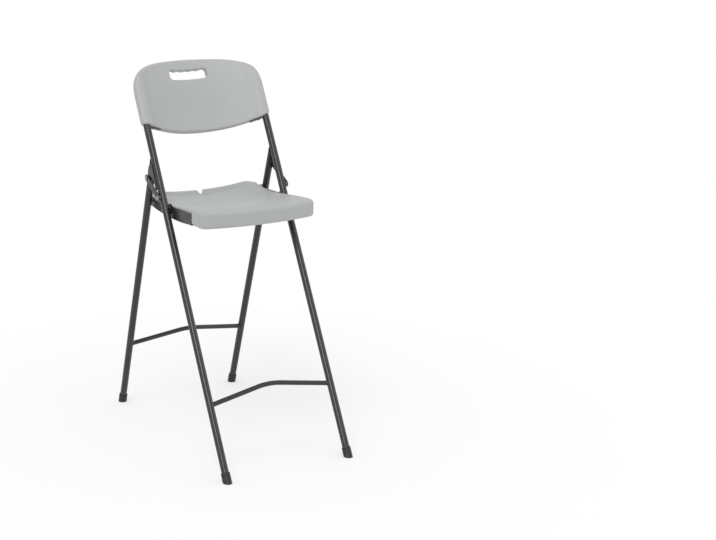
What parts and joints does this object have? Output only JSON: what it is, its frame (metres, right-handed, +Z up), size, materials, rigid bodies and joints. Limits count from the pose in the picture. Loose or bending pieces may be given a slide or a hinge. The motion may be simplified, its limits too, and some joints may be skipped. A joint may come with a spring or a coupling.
{
  "type": "folding bar stool",
  "caption": "Folding bar stool: leaning tube rails with a curved panel backrest, folding rear legs, moulded seat in steel side channels, bowed foot bars and black foot caps.",
  "frame": {"origin": "on the floor, in the middle of the bounding box's footprint", "axes": "+X is the sitter's left, the sitter faces -Y, +Z is up"},
  "size_m": [0.4522, 0.7898, 1.1369],
  "materials": {
    "tube_steel": "dark grey satin powder coat",
    "plate_steel": "dark grey satin powder coat on pressed sheet",
    "fastener_steel": "plated, slightly dull",
    "grey_plastic": "light grey blow-moulded, fine texture",
    "black_plastic": "black, matt"
  },
  "bodies": {
    "front_frame": {"rail_left": "tube_steel", "front_foot_cap_left": "black_plastic", "back_bracket_left": "plate_steel", "back_rail_screw_left": "fastener_steel", "back_bracket_screw_left": "fastener_steel", "gusset_left": "plate_steel", "link_rail_rivet_left": "fastener_steel", "link_rail_washer_left": "fastener_steel", "rail_right": "tube_steel", "front_foot_cap_right": "black_plastic", "back_bracket_right": "plate_steel", "back_rail_screw_right": "fastener_steel", "back_bracket_screw_right": "fastener_steel", "gusset_right": "plate_steel", "link_rail_rivet_right": "fastener_steel", "link_rail_washer_right": "fastener_steel", "front_foot_bar": "tube_steel", "backrest": "grey_plastic"},
    "seat": {"seat_channel_left": "plate_steel", "leg_stud_left": "fastener_steel", "seat_rivet_left": "fastener_steel", "seat_bush_left": "black_plastic", "seat_channel_right": "plate_steel", "leg_stud_right": "fastener_steel", "seat_rivet_right": "fastener_steel", "seat_bush_right": "black_plastic", "seat_shell": "grey_plastic", "seat_brace_front": "plate_steel", "seat_brace_rear": "plate_steel", "seat_screw_1": "fastener_steel", "seat_screw_2": "fastener_steel", "seat_screw_3": "fastener_steel", "seat_screw_4": "fastener_steel"},
    "link_arm_left": {"link_left": "plate_steel"},
    "link_arm_right": {"link_right": "plate_steel"},
    "rear_legs": {"rear_leg_left": "tube_steel", "rear_foot_cap_left": "black_plastic", "leg_plug_left": "black_plastic", "rear_leg_right": "tube_steel", "rear_foot_cap_right": "black_plastic", "leg_plug_right": "black_plastic", "rear_foot_bar": "tube_steel", "link_leg_rivet_left": "fastener_steel", "link_leg_rivet_right": "fastener_steel", "link_leg_washer_left": "fastener_steel", "link_leg_washer_right": "fastener_steel"}
  },
  "joints": [
    {"name": "fold", "type": "hinge", "parent": "front_frame", "child": "seat", "pos_m": [0, 0.01379, 0.726], "axis": [-1, 0, 0], "range_deg": [0, 111.72]},
    {"name": "link_left_pivot", "type": "hinge", "parent": "front_frame", "child": "link_arm_left", "pos_m": [0, 0.03491, 0.765], "axis": [-1, 0, 0], "range_deg": [0, 132.15]},
    {"name": "link_right_pivot", "type": "hinge", "parent": "front_frame", "child": "link_arm_right", "pos_m": [0, 0.03491, 0.765], "axis": [-1, 0, 0], "range_deg": [0, 132.15]},
    {"name": "leg_pivot", "type": "hinge", "parent": "link_arm_left", "child": "rear_legs", "pos_m": [0, 0.11785, 0.812], "axis": [-1, 0, 0], "range_deg": [-85.78, 0]}
  ],
  "couplings": [
    {"joint": "link_left_pivot", "follows": "fold", "ratio": 1.1829},
    {"joint": "link_right_pivot", "follows": "fold", "ratio": 1.1829},
    {"joint": "leg_pivot", "follows": "fold", "ratio": -0.76786}
  ]
}
